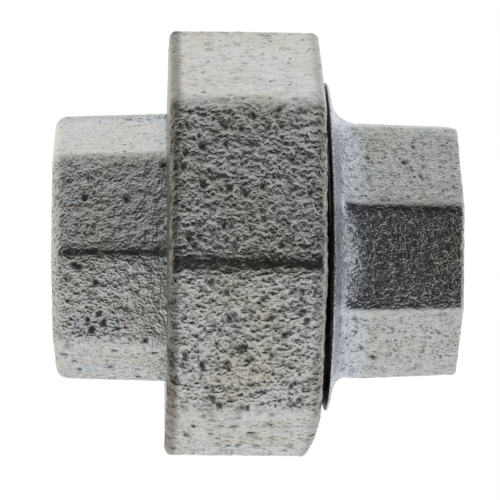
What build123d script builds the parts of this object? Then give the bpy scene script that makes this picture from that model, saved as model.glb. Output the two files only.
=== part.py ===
from build123d import *
from math import cos, radians, sin, tan
import os

# A ground-joint pipe union, in millimetres. The pipe axis is X: the tail piece is
# on the -X side, the head piece on the +X side, and X = 0 is the middle of the
# length. Each piece is drawn about a local Z axis and laid along X at the end.

# Overall sizes
overall_length = 48.0
nut_across_flats = 47.8
nut_width = 17.94
nut_offset = -1.59
flange_diameter = 39.9

# Octagons of the two end castings, narrower at the outer end by their draft
octagon_sides = 8
tail_inner_flats = 30.15
tail_outer_flats = 29.4
head_inner_flats = 30.45
head_outer_flats = 29.4

# Rounding of the cast edges
tail_edge_round = 1.2
head_edge_round = 0.8
casting_end_round = 0.45
nut_edge_round = 1.8
nut_end_round = 0.9

# Angle of one flat of each octagon about the axis, in degrees
nut_clock = 0.0
tail_clock = -3.0
head_clock = -23.75

# Female pipe threads, half inch parallel, bored at their minor diameter
pipe_thread_minor = 18.631
pipe_thread_length = 13.5
mouth_diameter = 22.2
waterway_diameter = 17.0

# Thread between the head piece and the nut, as two plain cylinders
thread_gap = 0.1
thread_lead = 1.3
flange_gap = 1.06

# Lip of the nut, and the collar of the tail that it pulls on
lip_thickness = 4.0
lip_chamfer = 0.6
lip_octagon_gap = 0.28294
lip_neck_gap = 0.6
running_gap = 0.1
collar_bearing = 1.6
collar_thread_gap = 1.2
collar_length = 3.7
collar_chamfer = 0.5
relief_depth = 0.4
relief_length = 4.5

# Ground joint: a spherical nose on a conical bronze seat
seat_half_angle = 35.0
seat_depth = 1.6
seat_gap = 0.12
nose_reach = 1.4
cone_reach = 2.4
ring_diameter = 29.2
seat_wall = 2.6
ring_length = 5.7
ring_setback = 0.3
collar_head_gap = 0.26

# Flange of the head piece, with its back leaning towards the octagon
flange_rim = 0.55
flange_rim_round = 0.35
flange_lean = 11.5
flange_root_diameter = 34.8
flange_sweep_diameter = 30.2
flange_sweep_length = 2.6

# Diameters that follow from the sizes above: the lip's hole goes over the corners of
# the tail's octagon, the collar bears on the lip, and the nut's thread clears the collar
tail_across_corners = tail_inner_flats / cos(radians(180 / octagon_sides))
lip_hole_diameter = tail_across_corners + 2 * lip_octagon_gap
neck_diameter = lip_hole_diameter - 2 * lip_neck_gap
collar_diameter = lip_hole_diameter + 2 * collar_bearing
union_thread_diameter = collar_diameter + 2 * collar_thread_gap
nut_thread_diameter = union_thread_diameter + 2 * thread_gap
relief_diameter = nut_thread_diameter + 2 * relief_depth
seat_diameter = ring_diameter - 2 * seat_wall

# Positions along the axis that follow from the sizes above
tail_end_x = -overall_length / 2
head_end_x = overall_length / 2
nut_left_x = nut_offset - nut_width / 2
nut_right_x = nut_offset + nut_width / 2
lip_face_x = nut_left_x + lip_thickness
neck_start_x = nut_left_x + lip_chamfer
collar_left_x = lip_face_x + running_gap
collar_right_x = collar_left_x + collar_length
flange_face_x = nut_right_x + flange_gap
head_start_x = collar_right_x + collar_head_gap
seat_x = head_start_x + seat_depth
seat_slope = tan(radians(seat_half_angle))
nose_radius = seat_diameter / 2 / cos(radians(seat_half_angle)) - seat_gap
nose_centre_x = seat_x - seat_diameter / 2 * seat_slope
nose_end_x = seat_x + nose_reach
ring_left_x = head_start_x + ring_setback
ring_right_x = ring_left_x + ring_length
cone_end_x = seat_x + cone_reach


def turned(*corners):
    """Solid of revolution about the axis, from corners given as (diameter, x)."""
    outline = Polyline(*[(diameter / 2, 0, x) for diameter, x in corners], close=True)
    return revolve(make_face(outline), Axis.Z)


def rod(diameter, start, end):
    """Plain cylinder about the axis, from start to end."""
    return turned((0, start), (diameter, start), (diameter, end), (0, end))


def octagon(across_flats):
    """Octagon with one flat facing the start of the angles."""
    return RegularPolygon(across_flats / 2, octagon_sides, False, rotation=180 / octagon_sides)


def rounded_bar(flats, end_flats, length, edge_round):
    """Octagonal bar from 0 to length with its long edges rounded."""
    lean = (flats - end_flats) / 2
    draft = Vector(length, 0).get_angle(Vector(length, lean))
    bar = extrude(octagon(flats), length, taper=draft)
    long_edges = [edge for edge in bar.edges() if edge.bounding_box().size.Z > length / 2]
    return fillet(long_edges, edge_round)


def casting_bar(flats, end_flats, length, edge_round):
    """Octagonal end of a casting, with its outer end rounded too."""
    bar = rounded_bar(flats, end_flats, length, edge_round)
    return fillet(bar.faces().sort_by(Axis.Z)[-1].edges(), casting_end_round)


def bore_from(end, inward):
    """Threaded mouth and throat of an end casting; inward is the sign of the way in."""
    mouth_depth = (mouth_diameter - pipe_thread_minor) / 2
    throat_depth = pipe_thread_length + (pipe_thread_minor - waterway_diameter) / 2
    return turned(
        (0, end),
        (mouth_diameter, end),
        (pipe_thread_minor, end + inward * mouth_depth),
        (pipe_thread_minor, end + inward * pipe_thread_length),
        (waterway_diameter, end + inward * throat_depth),
        (waterway_diameter, -end),
        (0, -end),
    )


def tail_piece():
    """Octagonal tail, with the collar held by the nut and the spherical nose."""
    bar = casting_bar(tail_inner_flats, tail_outer_flats, neck_start_x - tail_end_x, tail_edge_round)
    body = Pos(0, 0, neck_start_x) * Rot(180, 0, 0) * Rot(0, 0, -tail_clock) * bar
    body += turned(
        (0, neck_start_x - lip_chamfer),
        (neck_diameter, neck_start_x - lip_chamfer),
        (neck_diameter, collar_left_x),
        (collar_diameter - 2 * collar_chamfer, collar_left_x),
        (collar_diameter, collar_left_x + collar_chamfer),
        (collar_diameter, collar_right_x - collar_chamfer),
        (collar_diameter - 2 * collar_chamfer, collar_right_x),
        (0, collar_right_x),
    )
    ball = Pos(0, 0, nose_centre_x) * Sphere(nose_radius)
    body += ball & rod(ring_diameter, collar_left_x, nose_end_x)
    return body - bore_from(tail_end_x, 1)


def union_nut():
    """Octagonal nut with a lip at the tail side and the female thread."""
    bar = rounded_bar(nut_across_flats, nut_across_flats, nut_width, nut_edge_round)
    bar = fillet(bar.faces().filter_by(GeomType.PLANE).filter_by(Axis.Z).edges(), nut_end_round)
    body = Pos(0, 0, nut_left_x) * Rot(0, 0, nut_clock) * bar
    relief_end_x = lip_face_x + relief_length
    return body - turned(
        (0, nut_left_x),
        (lip_hole_diameter + 2 * lip_chamfer, nut_left_x),
        (lip_hole_diameter, nut_left_x + lip_chamfer),
        (lip_hole_diameter, lip_face_x),
        (relief_diameter, lip_face_x),
        (relief_diameter, relief_end_x),
        (nut_thread_diameter, relief_end_x),
        (nut_thread_diameter, nut_right_x - thread_lead),
        (nut_thread_diameter + 2 * thread_lead, nut_right_x),
        (0, nut_right_x),
    )


def head_piece():
    """Threaded head with its flange, octagon and the pocket for the seat ring."""
    thread = turned(
        (0, head_start_x),
        (union_thread_diameter - 2 * thread_lead, head_start_x),
        (union_thread_diameter, head_start_x + thread_lead),
        (union_thread_diameter, flange_face_x + flange_rim),
        (0, flange_face_x + flange_rim),
    )
    rim_end_x = flange_face_x + flange_rim
    lean = (flange_diameter - flange_root_diameter) / 2 * tan(radians(flange_lean))
    root_point = (flange_root_diameter / 2, 0, rim_end_x + lean)
    sweep_point = (flange_sweep_diameter / 2, 0, rim_end_x + lean + flange_sweep_length)
    lean_direction = (-cos(radians(flange_lean)), 0, sin(radians(flange_lean)))
    rim_point = (flange_diameter / 2, 0, rim_end_x)
    outline = Polyline(
        (0, 0, sweep_point[2]),
        (0, 0, flange_face_x),
        (flange_diameter / 2, 0, flange_face_x),
        rim_point,
        root_point,
    )
    back = TangentArc(root_point, sweep_point, tangent=lean_direction)
    end = Line(sweep_point, (0, 0, sweep_point[2]))
    flange = revolve(make_face([*outline.edges(), back, end]), Axis.Z)
    widest = flange.edges().filter_by(GeomType.CIRCLE).group_by(SortBy.RADIUS)[-1]
    flange = fillet(widest.sort_by(Axis.Z)[-1], flange_rim_round)
    bar = casting_bar(head_inner_flats, head_outer_flats, head_end_x - rim_end_x, head_edge_round)
    body = flange + Pos(0, 0, rim_end_x) * Rot(0, 0, head_clock) * bar
    body += thread
    return body - bore_from(head_end_x, -1) - rod(ring_diameter, head_start_x, ring_right_x)


def seat_ring():
    """Bronze ring pressed into the head, with the conical seat for the nose."""
    cone_mouth = seat_diameter + 2 * (seat_x - ring_left_x) * seat_slope
    cone_throat = seat_diameter - 2 * cone_reach * seat_slope
    return turned(
        (cone_mouth, ring_left_x),
        (ring_diameter, ring_left_x),
        (ring_diameter, ring_right_x),
        (waterway_diameter, ring_right_x),
        (waterway_diameter, cone_end_x),
        (cone_throat, cone_end_x),
    )


pieces = {
    "tail_piece": tail_piece(),
    "union_nut": union_nut(),
    "head_piece": head_piece(),
    "seat_ring": seat_ring(),
}
os.makedirs("parts", exist_ok=True)
for name, piece in pieces.items():
    export_step(Plane.YZ * piece, f"parts/{name}.step")
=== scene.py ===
import logging
from dataclasses import dataclass, field
from enum import Enum
from math import atan2, cos, hypot, pi, radians, sin, sqrt, tan
from typing import Callable

import bmesh
import bpy
from mathutils import Matrix, Vector, noise


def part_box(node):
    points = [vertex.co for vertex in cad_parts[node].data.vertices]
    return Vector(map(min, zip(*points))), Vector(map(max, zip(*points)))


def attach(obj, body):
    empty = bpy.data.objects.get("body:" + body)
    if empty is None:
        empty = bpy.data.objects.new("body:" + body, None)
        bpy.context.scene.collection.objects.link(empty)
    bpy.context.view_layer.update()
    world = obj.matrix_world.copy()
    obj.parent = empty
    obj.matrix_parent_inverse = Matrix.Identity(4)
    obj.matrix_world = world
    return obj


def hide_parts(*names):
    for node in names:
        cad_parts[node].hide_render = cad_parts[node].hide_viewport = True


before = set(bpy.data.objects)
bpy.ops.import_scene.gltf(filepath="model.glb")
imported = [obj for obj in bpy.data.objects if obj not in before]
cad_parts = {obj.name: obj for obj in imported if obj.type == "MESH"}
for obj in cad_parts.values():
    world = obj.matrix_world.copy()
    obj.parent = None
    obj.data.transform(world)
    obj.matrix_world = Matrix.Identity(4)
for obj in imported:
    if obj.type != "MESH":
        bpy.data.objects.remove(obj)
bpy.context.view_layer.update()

log = logging.getLogger("union")

MM = 0.001
SIDES = 8
SECTOR = 2 * pi / SIDES

Rim = list[bmesh.types.BMEdge]
Colour = tuple[float, float, float]


class Surface(Enum):
    """Which finish a band of a casting takes."""

    CAST = 0
    CUT = 1
    # union threads: grime, and a dark colour painted as the shade in the narrow gap between nut and
    # flange
    GRIME_AND_PAINTED_SHADE = 2


class Join(Enum):
    """How a ring's circle and its octagon meet."""

    MIX = "part way between the two"
    UNION = "whichever stands out further"


# --- shader maths


@dataclass(frozen=True)
class Signal:
    """A shader socket that takes part in Python sums, and the sheet it is on."""

    sheet: "Sheet"
    socket: bpy.types.NodeSocket

    def math(self, operation: str, first: object, second: object = 0.0) -> "Signal":
        """Add one Math node.

        Args:
            operation: name of the node's operation.
            first: first number or signal.
            second: second number or signal.

        Returns:
            The result.
        """
        return self.sheet.value("ShaderNodeMath", {"operation": operation}, {0: first, 1: second})

    def __add__(self, other: object) -> "Signal":
        """Sum."""
        return self.math("ADD", self, other)

    __radd__ = __add__

    def __sub__(self, other: object) -> "Signal":
        """Difference."""
        return self.math("SUBTRACT", self, other)

    def __rsub__(self, other: object) -> "Signal":
        """Difference, from a number."""
        return self.math("SUBTRACT", other, self)

    def __mul__(self, other: object) -> "Signal":
        """Product."""
        return self.math("MULTIPLY", self, other)

    def between(self, low: float, high: float) -> "Signal":
        """Rise from 0 at low to 1 at high, with soft ends.

        Args:
            low: value that gives 0.
            high: value that gives 1.

        Returns:
            The eased share.
        """
        values = {"Value": self, "From Min": low, "From Max": high}
        way = {"interpolation_type": "SMOOTHSTEP"}
        return self.sheet.value("ShaderNodeMapRange", way, values, "Result")


class Sheet:
    """The node tree of a material or of the world."""

    def __init__(self, owner: bpy.types.Material | bpy.types.World) -> None:
        """Start with an empty tree.

        Args:
            owner: what the tree belongs to.
        """
        self.owner = owner
        owner.use_nodes = True
        self.tree = owner.node_tree
        self.tree.nodes.clear()

    def node(
        self, kind: str, settings: dict[str, object], values: dict[object, object]
    ) -> bpy.types.Node:
        """Add a node.

        Args:
            kind: node type.
            settings: properties, set first; "stops" fills a colour ramp.
            values: input sockets by name or number, as numbers, colours or signals.

        Returns:
            The new node.
        """
        node = self.tree.nodes.new(kind)
        for name, value in settings.items():
            if name == "stops":
                self.fill_ramp(node, value)
            else:
                setattr(node, name, value)
        for name, value in values.items():
            if isinstance(value, Signal):
                self.tree.links.new(value.socket, node.inputs[name])
            else:
                node.inputs[name].default_value = value
        return node

    def value(
        self, kind: str, settings: dict[str, object], values: dict[object, object], out: object = 0
    ) -> Signal:
        """Add a node and take one of its outputs.

        Args:
            kind: node type.
            settings: properties, as for node.
            values: inputs, as for node.
            out: name or number of the output.

        Returns:
            The output.
        """
        return Signal(self, self.node(kind, settings, values).outputs[out])

    @staticmethod
    def fill_ramp(node: bpy.types.Node, stops: list[tuple[float, Colour]]) -> None:
        """Give a colour ramp its stops.

        Args:
            node: the ramp node.
            stops: position and colour of each stop.
        """
        elements = node.color_ramp.elements
        while len(elements) < len(stops):
            elements.new(0.5)
        for element, (place, colour) in zip(elements, stops):
            element.position = place
            element.color = (*colour, 1.0)

    def place(self, stretch: Colour = (1.0, 1.0, 1.0), shift: Colour = (0.0, 0.0, 0.0)) -> Signal:
        """Object coordinates in millimetres.

        Args:
            stretch: extra scale along each axis.
            shift: offset in millimetres.

        Returns:
            The vector.
        """
        at = self.value("ShaderNodeTexCoord", {}, {}, "Object")
        scale = tuple(share / MM for share in stretch)
        values = {"Vector": at, "Scale": scale, "Location": shift}
        return self.value("ShaderNodeMapping", {}, values, "Vector")

    def layer(self, name: str) -> Signal:
        """Values kept on the mesh.

        Args:
            name: name of the layer.

        Returns:
            The values.
        """
        return self.value("ShaderNodeAttribute", {"attribute_name": name}, {}, "Fac")

    def clouds(
        self, at: Signal, size: float, detail: float, roughness: float, distortion: float = 0.0
    ) -> Signal:
        """Noise from 0 to 1.

        Args:
            at: coordinates in millimetres.
            size: size of the largest features in millimetres.
            detail: octaves.
            roughness: weight of the smaller octaves.
            distortion: how much the pattern is pulled about.

        Returns:
            The noise.
        """
        values = {"Vector": at, "Scale": 1 / size, "Detail": detail, "Roughness": roughness}
        return self.value("ShaderNodeTexNoise", {}, {**values, "Distortion": distortion}, "Fac")

    def cells(self, at: Signal, size: float) -> Signal:
        """Distance from the nearest of scattered points.

        Args:
            at: coordinates in millimetres.
            size: how far apart the points are in millimetres.

        Returns:
            The distance, in cell sizes.
        """
        return self.value("ShaderNodeTexVoronoi", {}, {"Vector": at, "Scale": 1 / size}, "Distance")

    def blend(self, share: object, low: object, high: object) -> Signal:
        """Mix two colours.

        Args:
            share: how much of the second.
            low: first colour or signal.
            high: second colour or signal.

        Returns:
            The mixed colour.
        """
        node = self.node("ShaderNodeMix", {"data_type": "RGBA"}, {})
        for number, value in ((0, share), (6, low), (7, high)):
            if isinstance(value, Signal):
                self.tree.links.new(value.socket, node.inputs[number])
            else:
                filled = (*value, 1.0) if isinstance(value, tuple) else value
                node.inputs[number].default_value = filled
        return Signal(self, node.outputs[2])

    def surface(self, shader: bpy.types.Node, kind: str = "ShaderNodeOutputMaterial") -> None:
        """Hand a shader to the output.

        Args:
            shader: the shader node.
            kind: type of the output node.
        """
        self.node(kind, {}, {"Surface": Signal(self, shader.outputs[0])})

    def metal(
        self, colour: Signal, roughness: Signal, height: Signal, metallic: object
    ) -> bpy.types.Material:
        """Finish the material as a metal surface.

        Args:
            colour: base colour.
            roughness: roughness.
            height: relief in millimetres.
            metallic: metallic share, as a number or a signal.

        Returns:
            The finished material.
        """
        relief = {"Strength": 1.0, "Distance": MM, "Height": height}
        normal = self.value("ShaderNodeBump", {}, relief, "Normal")
        values = {"Base Color": colour, "Roughness": roughness, "Metallic": metallic, "Normal": normal}
        self.surface(self.node("ShaderNodeBsdfPrincipled", {}, values))
        return self.owner


# --- finishes


@dataclass(frozen=True)
class GalvanisedSkin:
    """Hot-dip zinc on a sand casting.

    Lengths are in millimetres, colours are linear. The zinc is warm in broad
    clouds and cool in patches, tint goes where the mesh says, and pit is the
    dirt in the dents and, between the grains, dirt together with painted shade in the hollows.
    """

    name: str
    zinc: Colour
    warm: Colour
    cool: Colour
    tint: Colour
    shine: Colour = (0.8, 0.8, 0.78)
    pit: Colour = (0.035, 0.032, 0.027)
    grain_size: float = 0.47
    grain_depth: float = 0.3
    roughness: float = 0.22
    shift: Colour = (0.0, 0.0, 0.0)

    def make(self) -> bpy.types.Material:
        """Build the material.

        Returns:
            The material.
        """
        sheet = Sheet(bpy.data.materials.new(self.name))
        at = sheet.place(shift=self.shift)
        streaked = sheet.place(stretch=(0.22, 1.0, 1.0), shift=self.shift)
        coarse = 1 - sheet.layer("smooth")
        dents = sheet.layer("dent")
        broad = sheet.clouds(at, 7.0, 2.0, 0.5)
        patch = sheet.clouds(at, 2.6, 4.0, 0.6, 0.4)
        grains = sheet.clouds(at, self.grain_size, 2.0, 0.45)
        lumps = sheet.clouds(at, self.grain_size * 2.4, 1.0, 0.5)
        streaks = sheet.clouds(streaked, 0.32, 3.0, 0.6)
        specks = 1 - (sheet.cells(at, 0.9) + grains * 0.3).between(0.26, 0.44)
        specks = specks * patch.between(0.46, 0.56)
        # Low parts of the grain relief: partly dirt, partly painted shade standing in for the shade
        # the hollows would get.
        dirt_and_hollow_shade = (1 - (grains * 0.6 + lumps * 0.4).between(0.32, 0.54)) * (coarse * 0.7 + 0.3)
        zinc = sheet.blend(broad.between(0.4, 0.68), self.zinc, self.warm)
        zinc = sheet.blend(patch.between(0.5, 0.72) * 0.8, zinc, self.cool)
        zinc = sheet.blend(sheet.layer("tint"), zinc, self.tint)
        zinc = sheet.blend(streaks.between(0.35, 0.75) * 0.22, zinc, self.shine)
        zinc = sheet.blend((1 - streaks.between(0.34, 0.48)) * 0.2, zinc, self.pit)
        # Dirt and painted shade darken the hollows between the grains.
        zinc = sheet.blend(dirt_and_hollow_shade * 0.62, zinc, self.pit)
        zinc = sheet.blend(specks * 0.62, zinc, self.pit)
        zinc = sheet.blend(dents * 0.9, zinc, self.pit)
        rough = self.roughness + patch * 0.1 + dents * 0.35 + dirt_and_hollow_shade * 0.1
        height = (grains + lumps) * self.grain_depth * (coarse * 0.72 + 0.28)
        height = height + streaks * 0.02 - specks * 0.04
        return sheet.metal(zinc, rough, height, 1 - dents * 0.4)


@dataclass(frozen=True)
class TurnedMetal:
    """Metal cut in a lathe, with fine tool rings about the pipe axis."""

    name: str
    colour: Colour
    stain: Colour
    ring_pitch: float = 0.12
    roughness: float = 0.3

    def make(self) -> bpy.types.Material:
        """Build the material.

        Returns:
            The material.
        """
        sheet = Sheet(bpy.data.materials.new(self.name))
        at = sheet.place()
        rings = sheet.clouds(sheet.place(stretch=(1.0, 0.02, 0.02)), self.ring_pitch, 2.0, 0.5)
        faces = sheet.clouds(at, 0.5, 3.0, 0.6)
        film = sheet.clouds(at, 3.0, 3.0, 0.6, 0.5)
        colour = sheet.blend(film.between(0.42, 0.7), self.colour, self.stain)
        rough = self.roughness + film * 0.18 + faces * 0.06
        height = rings * 0.006 + faces * 0.003
        return sheet.metal(colour, rough, height, 1.0)


# --- geometry


def ease(share: float) -> float:
    """Smooth step from 0 to 1.

    Args:
        share: place between the ends.

    Returns:
        The eased share.
    """
    held = min(max(share, 0.0), 1.0)
    return held * held * (3 - 2 * held)


@dataclass(frozen=True)
class Octagon:
    """Cast octagon with rounded corners, each side a little out of true.

    corner is the corners' radius, turned the direction of the first flat, and
    unevenness how far a flat may bulge.
    """

    corner: float
    turned: float
    unevenness: float = 0.05
    seed: float = 0.0
    least_corner: float = 0.15

    def radius(self, angle: float, x: float, half: float, inset: float) -> float:
        """Distance from the axis to the outline.

        Args:
            angle: direction about the axis, in radians.
            x: place along the axis, in millimetres.
            half: distance from the axis to a flat.
            inset: how far the outline is drawn in.

        Returns:
            The distance in millimetres.
        """
        turn = (angle - self.turned) / SECTOR
        side = round(turn)
        off = (turn - side) * SECTOR
        waver = noise.noise(Vector((x * 0.16, round(turn + 0.5), self.seed)))
        corner = max(self.corner * (1 + 0.25 * waver) - inset, self.least_corner)
        reach = half - inset
        bulge = noise.noise(Vector((x * 0.05, side % SIDES * 3.7, self.seed + 9.1)))
        edge = abs(off) / (SECTOR / 2)
        reach += self.unevenness * bulge * (1 - edge * edge)
        tangent = (half - inset - corner) * tan(SECTOR / 2)
        if abs(reach * tan(off)) <= tangent:
            return reach / cos(off)
        centre = (half - inset - corner) / cos(SECTOR / 2)
        from_corner = SECTOR / 2 - abs(off)
        return centre * cos(from_corner) + sqrt(max(corner**2 - (centre * sin(from_corner)) ** 2, 0.0))

    def edge(self, angle: float, radius: float, width: float) -> float:
        """How near a direction is to a long edge: 1 on it, 0 at width and beyond.

        Args:
            angle: direction about the axis, in radians.
            radius: distance from the axis.
            width: reach of the edge.

        Returns:
            The nearness.
        """
        turn = (angle - self.turned) / SECTOR
        apart = (0.5 - abs(turn - round(turn))) * SECTOR * radius
        return ease(1 - apart / width)


@dataclass(frozen=True)
class Ring:
    """One ring of a casting: its place, its shape and the surface up to it.

    circle is the radius of its round form, share is how round it is, inset draws
    the octagon in, and grain is how much cast relief it carries.
    """

    x: float
    circle: float = 0.0
    share: float = 1.0
    inset: float = 0.0
    grain: float = 0.0
    surface: Surface = Surface.CUT
    join: Join = Join.MIX

    def freedom(self) -> float:
        """How far the ring follows the cast outside: none where it is cut.

        Returns:
            The share.
        """
        return 1.0 if self.join is Join.UNION else 1 - self.share


@dataclass(frozen=True)
class Thread:
    """Right-hand thread form: a groove between two flanks, in millimetres.

    clock is the direction in degrees where a groove crosses x = 0, and
    softening is how far each corner is eased along the axis.
    """

    pitch: float
    inner: float
    outer: float
    inner_flat: float
    half_angle: float
    clock: float = 0.0
    softening: float = 0.035
    surface: Surface = Surface.CUT

    def outline(self) -> list[tuple[float, float]]:
        """Corners of one pitch, each eased into two.

        Returns:
            Distance along the axis and radius of each corner.
        """
        flank = (self.outer - self.inner) * tan(radians(self.half_angle))
        low = self.inner_flat / 2
        high = low + flank
        soft = self.softening
        rise = soft / tan(radians(self.half_angle)) * 0.5
        middle = (self.inner + self.outer) / 2
        half = [
            (0.0, self.inner),
            (low - soft, self.inner),
            (low + soft, self.inner + rise),
            ((low + high) / 2, middle),
            (high - soft, self.outer - rise),
            (high + soft, self.outer),
        ]
        mirrored = [(self.pitch - x, radius) for x, radius in reversed(half)]
        return half + mirrored

    def first_groove(self, start: float) -> float:
        """Middle of the last groove that begins a full pitch before start, on +Y.

        Args:
            start: place along the axis.

        Returns:
            Its place along the axis.
        """
        offset = -self.clock / 360 * self.pitch
        return offset + ((start - offset) // self.pitch - 1) * self.pitch


@dataclass
class Casting:
    """A body of the union, grown ring by ring about the pipe axis.

    Lengths are in millimetres until the mesh is handed over in metres. The
    skin carries lumps, a long wave and scattered dents. The cast outside
    leans about pivot and stands off by lift. Its corner at right_end is worn
    where it lies lower than about three quarters of wear_from.
    """

    name: str
    node: str
    body: str
    slot: str
    octagon: Octagon
    steps: int
    lump: float = 0.14
    wave: float = 0.05
    dent_depth: float = 0.16
    dent_share: float = 0.66
    dent_spacing: float = 1.7
    smooth_flat: float = 0.0
    smooth_edge: float = 1.5
    fillet: float = 0.9
    end_round: float = 0.5
    lean: float = 0.0
    lift: float = 0.0
    pivot: float = -1.59
    worn: float = 0.0
    wear_from: float = 1.0
    wear_length: float = 3.0
    right_end: float = 24.0
    thread_steps: int = 300
    merge: float = 0.004
    sharp: float = radians(38)
    bm: bmesh.types.BMesh = field(default_factory=bmesh.new)

    def __post_init__(self) -> None:
        """Add the layers that say where the cast relief, dents and tints lie."""
        layers = self.bm.verts.layers.float
        self.grain, self.smooth, self.dent, self.tint = [
            layers.new(name) for name in ("grain", "smooth", "dent", "tint")
        ]

    def half_flats(self, x: float) -> float:
        """Distance from the axis to the flats at x.

        Args:
            x: place along the axis.

        Returns:
            The distance.
        """
        raise NotImplementedError

    def radius(self, ring: Ring, angle: float) -> float:
        """Radius of a ring in one direction.

        Args:
            ring: the ring.
            angle: direction about the axis.

        Returns:
            The radius.
        """
        if ring.share == 1.0 and ring.join is Join.MIX:
            return ring.circle
        octagon = self.octagon.radius(angle, ring.x, self.half_flats(ring.x), ring.inset)
        if ring.join is Join.MIX:
            return octagon + (ring.circle - octagon) * ring.share
        share = min(max(0.5 + 0.5 * (ring.circle - octagon) / self.fillet, 0.0), 1.0)
        return octagon + (ring.circle - octagon) * share + self.fillet * 0.5 * share * (1 - share)

    def settle(self, verts: list[bmesh.types.BMVert], ring: Ring) -> None:
        """Put vertices on a ring.

        Args:
            verts: vertices, already spread about the axis.
            ring: where they go.
        """
        for vert in verts:
            angle = atan2(vert.co.z, vert.co.y)
            radius = self.radius(ring, angle)
            vert.co = (ring.x, radius * cos(angle), radius * sin(angle))
            vert[self.smooth] = self.smoothness(vert.co, angle, radius)
            vert[self.tint] = self.tinge(vert.co)
            vert.co += (self.wear(vert.co) + self.out_of_true(vert.co)) * ring.freedom()
            vert[self.grain] = ring.grain

    def smoothness(self, place: Vector, angle: float, radius: float) -> float:
        """How much the skin is smoothed: along the edges, and on top and bottom.

        Args:
            place: point in millimetres.
            angle: its direction about the axis.
            radius: its distance from the axis.

        Returns:
            0 for full relief, 1 for none.
        """
        fade = 1.6
        flat = ease((self.smooth_flat + fade / 2 - abs(place.y)) / fade)
        return max(flat, 0.85 * self.octagon.edge(angle, radius, self.smooth_edge))

    def tinge(self, place: Vector) -> float:
        """Share of the skin's tint at a place.

        Args:
            place: point in millimetres.

        Returns:
            The share.
        """
        raise NotImplementedError

    def wear(self, place: Vector) -> Vector:
        """How far the low corner at the +X end is worn back.

        Args:
            place: point in millimetres.

        Returns:
            The shift.
        """
        low = ease((-place.z / self.wear_from - 0.75) / 0.3)
        near = ease(1 - (self.right_end - place.x) / self.wear_length)
        return Vector((-self.worn * low * near, 0.0, 0.0))

    def out_of_true(self, place: Vector) -> Vector:
        """How far the cast outside stands off its bored inside.

        Args:
            place: point in millimetres.

        Returns:
            The shift.
        """
        return Vector((self.lean * place.z, 0.0, self.lift - self.lean * (place.x - self.pivot)))

    def start(self, ring: Ring) -> Rim:
        """Draw the first ring of the skin.

        Args:
            ring: the ring.

        Returns:
            Its edges.
        """
        made = bmesh.ops.create_circle(self.bm, segments=self.steps, radius=1.0)["verts"]
        bmesh.ops.rotate(self.bm, verts=made, cent=(0, 0, 0), matrix=Matrix.Rotation(pi / 2, 3, "Y"))
        self.settle(made, ring)
        return list(dict.fromkeys(edge for vert in made for edge in vert.link_edges))

    def grow(self, rim: Rim, rings: list[Ring]) -> Rim:
        """Extrude a rim through a run of rings.

        Args:
            rim: edges to start from.
            rings: rings in order.

        Returns:
            The edges of the last ring.
        """
        for ring in rings:
            made = bmesh.ops.extrude_edge_only(self.bm, edges=rim)["geom"]
            verts = [item for item in made if isinstance(item, bmesh.types.BMVert)]
            edges = [item for item in made if isinstance(item, bmesh.types.BMEdge)]
            rim = [edge for edge in edges if edge.is_boundary]
            self.settle(verts, ring)
            for item in made:
                if isinstance(item, bmesh.types.BMFace):
                    item.material_index = ring.surface.value
        return rim

    def join(self, first: Rim, second: Rim) -> None:
        """Bridge two rims with cut metal.

        Args:
            first: edges of one rim.
            second: edges of the other.
        """
        made = bmesh.ops.bridge_loops(self.bm, edges=first + second)
        for face in made["faces"]:
            face.material_index = Surface.CUT.value

    def wind(
        self, thread: Thread, start: float, end: float, trim: Callable[[float, float], float]
    ) -> tuple[Rim, Rim]:
        """Wind a thread between two planes.

        Args:
            thread: form of the thread.
            start: first plane along the axis.
            end: second plane along the axis.
            trim: gives the radius kept at a place and radius, for lead-ins.

        Returns:
            The rims at the first and the second plane.
        """
        shell = bmesh.new()
        first = thread.first_groove(start)
        line = [shell.verts.new((first + x, radius, 0.0)) for x, radius in thread.outline()]
        edges = [shell.edges.new(pair) for pair in zip(line, line[1:])]
        steps = self.thread_steps
        bmesh.ops.spin(
            shell, geom=line + edges, cent=(0, 0, 0), axis=(1, 0, 0),
            dvec=(thread.pitch / steps, 0, 0), angle=2 * pi, steps=steps,
        )
        turn = shell.verts[:] + shell.edges[:] + shell.faces[:]
        for number in range(1, int((end - start) / thread.pitch) + 3):
            copied = bmesh.ops.duplicate(shell, geom=turn)["geom"]
            moved = [item for item in copied if isinstance(item, bmesh.types.BMVert)]
            bmesh.ops.translate(shell, verts=moved, vec=(thread.pitch * number, 0, 0))
        bmesh.ops.remove_doubles(shell, verts=shell.verts, dist=self.merge)
        for plane, way in ((start, -1), (end, 1)):
            bmesh.ops.bisect_plane(
                shell, geom=shell.verts[:] + shell.edges[:] + shell.faces[:], dist=1e-4,
                plane_co=(plane, 0, 0), plane_no=(way, 0, 0), clear_outer=True,
            )
        for vert in shell.verts:
            radius = hypot(vert.co.y, vert.co.z)
            kept = trim(vert.co.x, radius) / radius
            vert.co = (vert.co.x, vert.co.y * kept, vert.co.z * kept)
        for face in shell.faces:
            face.material_index = thread.surface.value
        mesh = bpy.data.meshes.new("winding")
        shell.to_mesh(mesh)
        shell.free()
        before = len(self.bm.edges)
        self.bm.from_mesh(mesh)
        bpy.data.meshes.remove(mesh)
        self.bm.edges.ensure_lookup_table()
        rims = [edge for edge in self.bm.edges[before:] if edge.is_boundary]
        return tuple(
            [edge for edge in rims if all(abs(vert.co.x - plane) < 1e-3 for vert in edge.verts)]
            for plane in (start, end)
        )

    def relief(self, place: Vector) -> float:
        """Height of the cast relief at a place.

        Args:
            place: point in millimetres.

        Returns:
            The height.
        """
        wave = noise.noise(place / 5.5) * self.wave
        lump = (noise.noise(place / 1.1) + 0.6 * noise.noise(place / 0.6)) * self.lump
        return wave + lump

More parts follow.
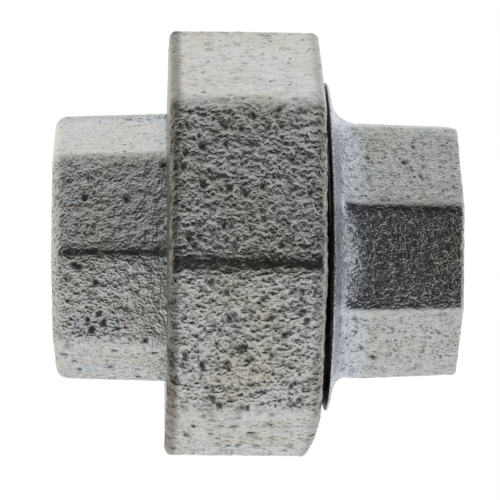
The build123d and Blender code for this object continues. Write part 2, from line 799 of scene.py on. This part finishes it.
    def dented(self, place: Vector) -> float:
        """How deep a place lies in one of the scattered dents.

        Args:
            place: point in millimetres.

        Returns:
            0 outside them, 1 at the bottom.
        """
        ragged = 0.12 * noise.noise(place / 0.4) + 0.12 * noise.noise(place / 1.6)
        near = noise.voronoi(place / self.dent_spacing)[0][0] + ragged
        grouped = ease((noise.noise(place / 3.0) + self.dent_share - 0.5) / 0.15)
        return ease((0.3 - near) / 0.13) * grouped

    def roughen(self) -> None:
        """Push the cast skin out and in along its normals."""
        self.bm.normal_update()
        seed = Vector((self.octagon.seed * 7.0, 0.0, 0.0))
        for vert in self.bm.verts:
            grain = vert[self.grain]
            if grain > 0:
                place = vert.co + seed
                coarse = 1 - 0.75 * vert[self.smooth]
                vert[self.dent] = self.dented(place) * grain * coarse
                height = self.relief(place) * coarse - self.dent_depth * vert[self.dent]
                vert.co += vert.normal * (height * grain)

    def shape(self) -> None:
        """Grow the whole body."""
        raise NotImplementedError

    def build(self, finishes: dict[Surface, bpy.types.Material]) -> bpy.types.Object:
        """Make the piece and put it in the frame.

        Args:
            finishes: material of each surface.

        Returns:
            The finished object.
        """
        self.shape()
        bmesh.ops.recalc_face_normals(self.bm, faces=self.bm.faces)
        self.roughen()
        open_edges = sum(edge.is_boundary for edge in self.bm.edges)
        bmesh.ops.triangulate(self.bm, faces=[face for face in self.bm.faces if len(face.verts) > 4])
        for edge in self.bm.edges:
            edge.smooth = not edge.is_manifold or edge.calc_face_angle() < self.sharp
        for face in self.bm.faces:
            face.smooth = True
        bmesh.ops.scale(self.bm, verts=self.bm.verts, vec=(MM, MM, MM))
        mesh = bpy.data.meshes.new(self.name)
        self.bm.to_mesh(mesh)
        triangles = sum(len(face.verts) - 2 for face in self.bm.faces)
        self.bm.free()
        for surface in Surface:
            mesh.materials.append(finishes[surface])
        piece = bpy.data.objects.new(self.name, mesh)
        bpy.context.scene.collection.objects.link(piece)
        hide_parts(self.node)
        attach(piece, self.body)
        log.info("%s: %d triangles, %d open edges", self.name, triangles, open_edges)
        return piece


def spread(first: float, last: float, count: int) -> list[float]:
    """Even places after first, up to and including last.

    Args:
        first: where the run starts.
        last: where it ends.
        count: how many places.

    Returns:
        The places.
    """
    return [first + (last - first) * step / count for step in range(1, count + 1)]


PIPE_THREAD = Thread(pitch=1.814, inner=9.3155, outer=10.4775, inner_flat=0.32, half_angle=27.5)
# The union threads take a dark finish: grime, and a dark colour painted as the shade in the narrow gap
# between nut and flange.
UNION_FORM = {"pitch": 2.0, "half_angle": 30.0, "clock": 104.8, "surface": Surface.GRIME_AND_PAINTED_SHADE}


@dataclass
class EndCasting(Casting):
    """An end of the union: octagon, threaded mouth and waterway.

    way is -1 for the tail and 1 for the head. inner_half and outer_half are
    the distances to the flats at inner_x and end_x.
    """

    way: int = 1
    end_x: float = 24.0
    inner_x: float = 9.0
    inner_half: float = 15.2
    outer_half: float = 14.7
    mouth_radius: float = 11.1
    mouth_rim: float = 0.08
    thread_depth: float = 13.5
    water_radius: float = 8.5

    def half_flats(self, x: float) -> float:
        """Distance to the flats at x, with the casting draft.

        Args:
            x: place along the axis.

        Returns:
            The distance.
        """
        share = (x - self.inner_x) / (self.end_x - self.inner_x)
        return self.inner_half + (self.outer_half - self.inner_half) * share

    def barrel(self, start: float, rows: int, first_grain: float) -> list[Ring]:
        """Rings along the octagon, round its outer edge and in to the mouth.

        Args:
            start: where the octagon begins.
            rows: rows along it.
            first_grain: relief at its first row.

        Returns:
            The rings.
        """
        cast = {"share": 0.0, "surface": Surface.CAST}
        bend = self.end_round
        last = self.end_x - self.way * bend
        along = [Ring(x, grain=1.0, **cast) for x in spread(start, last, rows)]
        along[0] = Ring(along[0].x, grain=first_grain, **cast)
        corner = [
            Ring(last + self.way * bend * sin(turn), inset=bend * (1 - cos(turn)), grain=0.7, **cast)
            for turn in spread(0.0, pi / 2, 5)
        ]
        face = [
            Ring(self.end_x, self.mouth_radius, share, bend, 0.35, Surface.CAST)
            for share in (0.12, 0.3, 0.5, 0.7, 0.88)
        ]
        return along + corner + face + [Ring(self.end_x, self.mouth_radius + self.mouth_rim)]

    def bore_trim(self, x: float, radius: float) -> float:
        """Radius kept in the threaded mouth, opened by its countersink.

        Args:
            x: place along the axis.
            radius: radius of the full thread.

        Returns:
            The radius kept.
        """
        depth = abs(self.end_x - x)
        runout = PIPE_THREAD.inner + max(self.thread_depth - depth, 0.0) * 0.7
        return max(min(radius, runout), self.mouth_radius - depth)

    def throat(self) -> list[Ring]:
        """Rings from the inner end of the pipe thread into the waterway.

        Returns:
            The rings.
        """
        depth = self.thread_depth
        return [
            Ring(self.end_x - self.way * (depth + 0.35), PIPE_THREAD.inner),
            Ring(self.end_x - self.way * (depth + 1.1), self.water_radius),
        ]


@dataclass
class TailPiece(EndCasting):
    """The tail: octagon, neck, collar and the spherical ground nose."""

    neck_x: float = -9.96
    neck_radius: float = 16.0
    collar_left: float = -6.46
    collar_right: float = -2.76
    collar_radius: float = 18.2
    bevel: float = 0.5
    nose_radius: float = 14.53
    nose_centre: float = -9.302
    nose_end: float = 0.5
    tip: float = 0.2

    def tinge(self, place: Vector) -> float:
        """Reddish film round the outer end.

        Args:
            place: point in millimetres.

        Returns:
            The share.
        """
        return 0.8 * ease((self.end_x + 1.5 - place.x) / 0.8)

    def nose(self, x: float) -> float:
        """Radius of the nose at x.

        Args:
            x: place along the axis.

        Returns:
            The radius.
        """
        return sqrt(self.nose_radius**2 - (x - self.nose_centre) ** 2)

    def shape(self) -> None:
        """Grow the tail from its neck both ways and close it in the bore."""
        inner_end = self.end_x + self.thread_depth
        mouth, inner = self.wind(PIPE_THREAD, self.end_x, inner_end, self.bore_trim)
        first = self.start(Ring(self.neck_x, self.neck_radius))
        round_in = 0.25
        lip = Ring(self.neck_x, 0.0, 0.0, round_in, 0.0, Surface.CAST)
        face = self.grow(first, [lip] + self.barrel(self.neck_x - round_in, 52, 0.6))
        self.join(face, mouth)
        left, right, bevel = self.collar_left, self.collar_right, self.bevel
        collar = [
            Ring(left, self.neck_radius),
            Ring(left, self.collar_radius - bevel),
            Ring(left + bevel, self.collar_radius),
            Ring(right - bevel, self.collar_radius),
            Ring(right, self.collar_radius - bevel),
            Ring(right, self.nose(right)),
        ]
        softened = 0.15
        nose = [Ring(x, self.nose(x)) for x in spread(right, self.nose_end - softened, 8)]
        tip = [
            Ring(self.nose_end, self.nose(self.nose_end) - softened),
            Ring(self.nose_end, self.water_radius + self.tip),
            Ring(self.nose_end - self.tip, self.water_radius),
        ]
        throat = self.throat()
        throat.reverse()
        last = self.grow(first, collar + nose + tip + throat)
        self.join(last, inner)


@dataclass
class HeadPiece(EndCasting):
    """The head: male union thread, flange, octagon and the seat pocket.

    The flange's back falls steeply by sweep_rise, half of it at sweep_half,
    to a foot that keeps falling by sweep_draft.
    """

    start_x: float = -2.5
    lead: float = 1.3
    pocket_radius: float = 14.6
    pocket_x: float = 3.5
    pocket_bevel: float = 0.3
    flange_x: float = 8.44
    flange_radius: float = 19.95
    sweep_start: float = 0.26
    sweep_end: float = 4.4
    sweep_foot: float = 16.65
    sweep_draft: float = 0.458
    sweep_rise: float = 3.565
    sweep_half: float = 0.651
    sweep_power: float = 2.87
    low_side_worn: float = 0.2
    thread: Thread = Thread(inner=18.2, outer=19.5, inner_flat=0.28, **UNION_FORM)

    def radius(self, ring: Ring, angle: float) -> float:
        """Radius of a ring in one direction, with the flange worn on its low side.

        Args:
            ring: the ring.
            angle: direction about the axis.

        Returns:
            The radius.
        """
        radius = super().radius(ring, angle)
        if ring.surface is not Surface.CAST:
            return radius
        low = ease((-sin(angle) - 0.5) / 0.45)
        return radius - self.low_side_worn * low * ease((ring.circle - 18.0) / 1.5)

    def out_of_true(self, place: Vector) -> Vector:
        """How far the octagon stands off its bore, growing from the flange.

        Args:
            place: point in millimetres.

        Returns:
            The shift.
        """
        return super().out_of_true(place) * ease((place.x - self.flange_x - 0.8) / 3.5)

    def tinge(self, place: Vector) -> float:
        """Bluish film behind the flange, fading along the octagon.

        Args:
            place: point in millimetres.

        Returns:
            The share.
        """
        return ease((self.flange_x + 5.5 - place.x) / 3.0)

    def thread_trim(self, x: float, radius: float) -> float:
        """Radius kept of the male thread, with its lead chamfer.

        Args:
            x: place along the axis.
            radius: radius of the full thread.

        Returns:
            The radius kept.
        """
        return min(radius, self.thread.outer - self.lead - 0.05 + (x - self.start_x))

    def sweep(self, out: float) -> float:
        """Radius of the flange's back: steep below the rim, then a long sweep.

        Args:
            out: distance from the flange face.

        Returns:
            The radius.
        """
        fallen = 1 + (out / self.sweep_half) ** self.sweep_power
        return self.sweep_foot - self.sweep_draft * out + self.sweep_rise / fallen

    def flange(self) -> list[Ring]:
        """Rings over the flange: face, rounded rim, leaning back and its sweep.

        Returns:
            The rings.
        """
        face = self.flange_x
        shoulder = ((0.0, 0.12, 0.15), (0.03, 0.03, 0.3), (0.08, 0.0, 0.4), (0.18, 0.0, 0.4))
        rim = [
            Ring(face + out, self.flange_radius - down, grain=grain, surface=Surface.CAST)
            for out, down, grain in shoulder
        ]
        closing = self.sweep_start / self.sweep_end
        back = [
            Ring(face + out, self.sweep(out), 1.0, 0.0, 0.7, Surface.CAST, Join.UNION)
            for out in (self.sweep_end * closing**left for left in spread(1.08, 0.0, 22))
        ]
        return rim + back

    def shape(self) -> None:
        """Grow the head from its flange face both ways and close it in the bore."""
        crest, root = self.wind(self.thread, self.start_x, self.flange_x, self.thread_trim)
        inner_end = self.end_x - self.thread_depth
        inner, mouth = self.wind(PIPE_THREAD, inner_end, self.end_x, self.bore_trim)
        first = self.start(Ring(self.flange_x, self.thread.outer + 0.1))
        flange = self.flange()
        face = self.grow(first, flange + self.barrel(flange[-1].x, 40, 1.0))
        self.join(face, mouth)
        self.join(first, root)
        pocket = [
            Ring(self.start_x, self.pocket_radius + self.pocket_bevel),
            Ring(self.start_x + self.pocket_bevel, self.pocket_radius),
            Ring(self.pocket_x, self.pocket_radius),
            Ring(self.pocket_x, self.water_radius),
        ]
        throat = self.throat()
        throat.reverse()
        last = self.grow(crest, pocket + throat)
        self.join(last, inner)


@dataclass
class UnionNut(Casting):
    """The nut: octagon, lip on the tail side and the female union thread."""

    left: float = -10.56
    right: float = 7.38
    half: float = 23.9
    lip: float = 4.0
    lip_radius: float = 16.6
    lip_bevel: float = 0.6
    relief_radius: float = 19.9
    relief_end: float = -2.06
    thread: Thread = Thread(inner=18.4, outer=19.7, inner_flat=0.15, softening=0.03, **UNION_FORM)

    def half_flats(self, x: float) -> float:
        """Distance to the flats, the same all along.

        Args:
            x: place along the axis.

        Returns:
            The distance.
        """
        return self.half

    def tinge(self, place: Vector) -> float:
        """Brown film along the edges of both ends.

        Args:
            place: point in millimetres.

        Returns:
            The share.
        """
        left = 0.95 * ease((self.left + 1.7 - place.x) / 0.9)
        return left + 0.5 * ease((place.x - self.right + 1.6) / 0.9)

    def thread_trim(self, x: float, radius: float) -> float:
        """Radius kept of the female thread, opened at both ends.

        Args:
            x: place along the axis.
            radius: radius of the full thread.

        Returns:
            The radius kept.
        """
        return max(radius, self.relief_radius - min(self.right - x, x - self.relief_end))

    def end_face(self, x: float, way: int, hole: float) -> list[Ring]:
        """Rings round the outer edge of one end and in to its hole.

        Args:
            x: plane of the end.
            way: -1 for the left end, 1 for the right.
            hole: radius of the hole.

        Returns:
            The rings, from the outside in.
        """
        bend = self.end_round
        corner = [
            Ring(x - way * bend * (1 - sin(turn)), 0.0, 0.0, bend * (1 - cos(turn)), 0.9, Surface.CAST)
            for turn in spread(0.0, pi / 2, 6)
        ]
        face = [
            Ring(x, hole, share, bend, 0.8 * (1 - share), Surface.CAST)
            for share in spread(0.0, 0.94, 13)
        ]
        return corner + face + [Ring(x, hole)]

    def shape(self) -> None:
        """Grow the nut from its middle both ways and close it inside."""
        into, out = self.wind(self.thread, self.relief_end, self.right, self.thread_trim)
        middle = (self.left + self.right) / 2
        cast = {"share": 0.0, "grain": 1.0, "surface": Surface.CAST}
        first = self.start(Ring(middle, **cast))
        rows = 33
        bend = self.end_round
        left_run = [Ring(x, **cast) for x in spread(middle, self.left + bend, rows)]
        right_run = [Ring(x, **cast) for x in spread(middle, self.right - bend, rows)]
        mouth = self.relief_radius + 0.15
        right_face = self.grow(first, right_run + self.end_face(self.right, 1, mouth))
        self.join(right_face, out)
        hole = self.lip_radius + self.lip_bevel
        left_face = self.grow(first, left_run + self.end_face(self.left, -1, hole))
        lip_face = self.left + self.lip
        inside = [
            Ring(self.left + self.lip_bevel, self.lip_radius),
            Ring(lip_face, self.lip_radius),
            Ring(lip_face, self.relief_radius),
        ]
        self.join(self.grow(left_face, inside), into)


# --- stage


@dataclass
class Studio:
    """Pale floor, white surroundings and grey cards that the camera doesn't see.

    Lengths are in metres. Stops give a card's brightness along its shade
    layer, and levels the apron's brightness at places in front of the axis.
    """

    floor_z: float
    tent_radius: float = 0.6
    half_width: float = 0.8
    tent_from: float = -3.0
    tent_to: float = 172.0
    tent_steps: int = 60
    apron_back: float = 0.1
    card_lift: float = 0.0004
    elevation: float = radians(27.5)
    distance: float = 0.334
    aim: tuple[float, float, float] = (-0.0005, 0.0, 0.0)
    aside: float = -0.0102
    drop: float = 0.0003
    roll: float = radians(0.86)
    lens: float = 198.5

    @staticmethod
    def shown(
        sheet: Sheet, light: bpy.types.Node, white: bpy.types.Node, share: float
    ) -> bpy.types.Node:
        """Mix a shader that lights with one that is seen.

        Args:
            sheet: tree of both.
            light: shader for the rays that light the object.
            white: shader for camera, glossy and transmission rays.
            share: how much of white those rays see.

        Returns:
            The mix.
        """
        path = sheet.node("ShaderNodeLightPath", {}, {})
        camera, glossy, through = [
            Signal(sheet, path.outputs[name])
            for name in ("Is Camera Ray", "Is Glossy Ray", "Is Transmission Ray")
        ]
        seen = camera.math("MAXIMUM", camera.math("MAXIMUM", camera, glossy), through)
        shaders = {1: Signal(sheet, light.outputs[0]), 2: Signal(sheet, white.outputs[0])}
        return sheet.node("ShaderNodeMixShader", {}, {0: seen * share, **shaders})

    def sky(self) -> None:
        """White background, and plain even light for everything else."""
        world = bpy.data.worlds.new("studio")
        bpy.context.scene.world = world
        sheet = Sheet(world)
        light, white = [
            sheet.node("ShaderNodeBackground", {}, {"Color": (1, 1, 1, 1), "Strength": strength})
            for strength in (0.75, 1.0)
        ]
        sheet.surface(self.shown(sheet, light, white, 1.0), "ShaderNodeOutputWorld")

    def floor(self) -> None:
        """White floor that keeps a faint shadow."""
        bm = bmesh.new()
        bmesh.ops.create_grid(bm, x_segments=1, y_segments=1, size=3.0)
        bmesh.ops.translate(bm, verts=bm.verts, vec=(0, 0, self.floor_z))
        sheet = Sheet(bpy.data.materials.new("floor"))
        lit = sheet.node("ShaderNodeBsdfDiffuse", {}, {"Color": (0.8, 0.8, 0.8, 1)})
        glow = sheet.node("ShaderNodeEmission", {}, {"Color": (1, 1, 1, 1), "Strength": 1.03})
        sheet.surface(self.shown(sheet, lit, glow, 0.95))
        self.stage_mesh(bm, sheet.owner)

    def tent(self) -> None:
        """Curved shade in front of and above the object, dark low down and pale on top."""
        bm = bmesh.new()
        low = radians(self.tent_from)
        arm = self.tent_radius
        across = (-self.half_width, self.half_width)
        ends = [bm.verts.new((x, -arm * cos(low), arm * sin(low))) for x in across]
        bmesh.ops.spin(
            bm, geom=ends + [bm.edges.new(ends)], cent=(0, 0, 0), axis=(-1, 0, 0),
            angle=radians(self.tent_to - self.tent_from), steps=self.tent_steps,
        )
        shade = bm.verts.layers.float.new("shade")
        for vert in bm.verts:
            vert[shade] = (atan2(vert.co.z, -vert.co.y) * 180 / pi + 10) / 180
        dark = [(0.0, 0.03), (0.1, 0.005), (0.33, 0.02), (0.41, 0.31)]
        self.card(bm, "shade", dark + [(0.55, 0.5), (0.72, 0.68), (0.85, 0.86)])

    def apron(self) -> None:
        """Grey card on the floor, pale under the object and darker in front."""
        bm = bmesh.new()
        back = self.apron_back
        depth = back + self.tent_radius
        bmesh.ops.create_grid(bm, x_segments=1, y_segments=1, size=0.5)
        shade = bm.verts.layers.float.new("shade")
        for vert in bm.verts:
            vert[shade] = 0.5 - vert.co.y
            across = 2 * vert.co.x * self.half_width
            vert.co = (across, back - depth * vert[shade], self.floor_z + self.card_lift)
        near = [(0.01, 0.86), (0.035, 0.8), (0.055, 0.7), (0.08, 0.56)]
        levels = near + [(0.13, 0.3), (0.25, 0.03)]
        self.card(bm, "apron", [((back + out) / depth, level) for out, level in levels])

    def sides(self) -> None:
        """Grey card upright on each side."""
        bm = bmesh.new()
        bmesh.ops.create_cube(bm, size=1.0)
        across = [face for face in bm.faces if abs(face.normal.x) < 0.5]
        bmesh.ops.delete(bm, geom=across, context="FACES_ONLY")
        shade = bm.verts.layers.float.new("shade")
        for vert in bm.verts:
            vert[shade] = vert.co.z + 0.5
            up = self.floor_z + vert[shade] * self.tent_radius
            vert.co = (2 * vert.co.x * self.half_width, 2 * vert.co.y * self.tent_radius, up)
        self.card(bm, "side", [(0.0, 0.85), (0.5, 0.72), (1.0, 0.88)])

    def card(self, bm: bmesh.types.BMesh, name: str, stops: list[tuple[float, float]]) -> None:
        """Turn a mesh with a shade layer into a card that only reflections and light see.

        Args:
            bm: its geometry, in metres.
            name: object name.
            stops: place and brightness along the shade layer.
        """
        sheet = Sheet(bpy.data.materials.new(name))
        greys = {"stops": [(place, (level, level, level)) for place, level in stops]}
        colour = sheet.value("ShaderNodeValToRGB", greys, {0: sheet.layer("shade")})
        sheet.surface(sheet.node("ShaderNodeEmission", {}, {"Color": colour, "Strength": 1.0}))
        card = self.stage_mesh(bm, sheet.owner)
        card.visible_camera = False
        card.visible_shadow = False

    def stage_mesh(self, bm: bmesh.types.BMesh, material: bpy.types.Material) -> bpy.types.Object:
        """Put a stage mesh in the scene.

        Args:
            bm: its geometry, in metres.
            material: its finish, whose name it takes.

        Returns:
            The object.
        """
        mesh = bpy.data.meshes.new(material.name)
        bm.to_mesh(mesh)
        bm.free()
        mesh.materials.append(material)
        item = bpy.data.objects.new(material.name, mesh)
        bpy.context.scene.collection.objects.link(item)
        return item

    def camera(self) -> None:
        """Camera at the viewing angle: low over the near side, a long lens."""
        level, height = cos(self.elevation), sin(self.elevation)
        back = Vector((self.aside, -self.distance * level, self.distance * height))
        turn = (-back).to_track_quat("-Z", "Y").to_matrix().to_4x4()
        aim = Vector(self.aim) - turn @ Vector((0, self.drop, 0))
        data = bpy.data.cameras.new("camera")
        data.lens = self.lens
        data.sensor_width = 36.0
        data.clip_start = 0.01
        camera = bpy.data.objects.new("camera", data)
        roll = Matrix.Rotation(self.roll, 4, "Z")
        camera.matrix_world = Matrix.Translation(aim + back) @ turn @ roll
        bpy.context.scene.collection.objects.link(camera)
        bpy.context.scene.camera = camera

    def build(self) -> None:
        """Set the whole stage."""
        for part in (self.sky, self.floor, self.tent, self.apron, self.sides, self.camera):
            part()
        bpy.context.scene.view_settings.view_transform = "Standard"


# --- main


def dress_seat(material: bpy.types.Material) -> None:
    """Give the carried-over seat ring its bronze.

    Args:
        material: the bronze.
    """
    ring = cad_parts["seat_ring"]
    ring.data.materials.clear()
    ring.data.materials.append(material)
    log.info("seat_ring: CAD mesh kept, turned bronze")


def main() -> None:
    """Build every piece and the stage."""
    logging.basicConfig(level=logging.INFO, format="%(message)s")
    low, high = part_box("union_nut")
    cut = TurnedMetal("cut_iron", (0.42, 0.41, 0.4), (0.3, 0.28, 0.25)).make()
    bronze = TurnedMetal("turned_bronze", (0.72, 0.44, 0.2), (0.5, 0.3, 0.14), 0.1, 0.24).make()
    # Dark thread colour: grime, and painted shade for the gap between nut and flange where the thread
    # shows.
    thread_grime_and_shade = TurnedMetal("thread_grime_and_painted_shade", (0.2, 0.185, 0.17), (0.08, 0.07, 0.06), 0.1, 0.32).make()
    nut_skin = GalvanisedSkin(
        name="nut_zinc", shift=(3, 1, 7), tint=(0.25, 0.22, 0.19),
        zinc=(0.72, 0.72, 0.71), warm=(0.67, 0.65, 0.57), cool=(0.63, 0.67, 0.65),
    )
    tail_skin = GalvanisedSkin(
        name="tail_zinc", shift=(31, 5, 2), tint=(0.68, 0.63, 0.58), grain_size=0.32, grain_depth=0.2,
        zinc=(0.68, 0.69, 0.69), warm=(0.67, 0.67, 0.61), cool=(0.59, 0.66, 0.7),
    )
    head_skin = GalvanisedSkin(
        name="head_zinc", shift=(11, 17, 4), tint=(0.71, 0.75, 0.82), grain_size=0.3, grain_depth=0.18,
        zinc=(0.61, 0.62, 0.61), warm=(0.6, 0.59, 0.55), cool=(0.53, 0.59, 0.61),
    )
    nut = UnionNut(
        name="nut_casting", node="union_nut", body="nut", slot="nut_casting",
        octagon=Octagon(1.5, 0.0, 0.06, 1.3), steps=600, left=low.x / MM, right=high.x / MM,
        end_round=0.9, smooth_flat=9.2, lean=radians(0.8), lift=0.33,
        worn=0.6, wear_from=23.9, right_end=high.x / MM,
    )
    tail = TailPiece(
        name="tail_casting", node="tail_piece", body="tail", slot="tail_casting",
        octagon=Octagon(1.2, radians(-3.0), 0.05, 4.2), steps=480, way=-1, end_x=-24.0, inner_x=-9.96,
        inner_half=15.075, end_round=1.5, smooth_flat=5.4, lump=0.1, dent_share=0.45,
    )
    head = HeadPiece(
        name="head_casting", node="head_piece", body="head", slot="head_casting",
        octagon=Octagon(0.8, radians(-23.75), 0.05, 8.6), steps=480, inner_x=8.99,
        inner_half=15.225, lump=0.09, dent_share=0.4, lift=-0.22, worn=0.7, wear_from=14.7,
    )
    for body, skin in ((nut, nut_skin), (tail, tail_skin), (head, head_skin)):
        body.build({Surface.CAST: skin.make(), Surface.CUT: cut, Surface.GRIME_AND_PAINTED_SHADE: thread_grime_and_shade})
    dress_seat(bronze)
    Studio(floor_z=-0.0239).build()


if __name__ == "__main__":
    main()
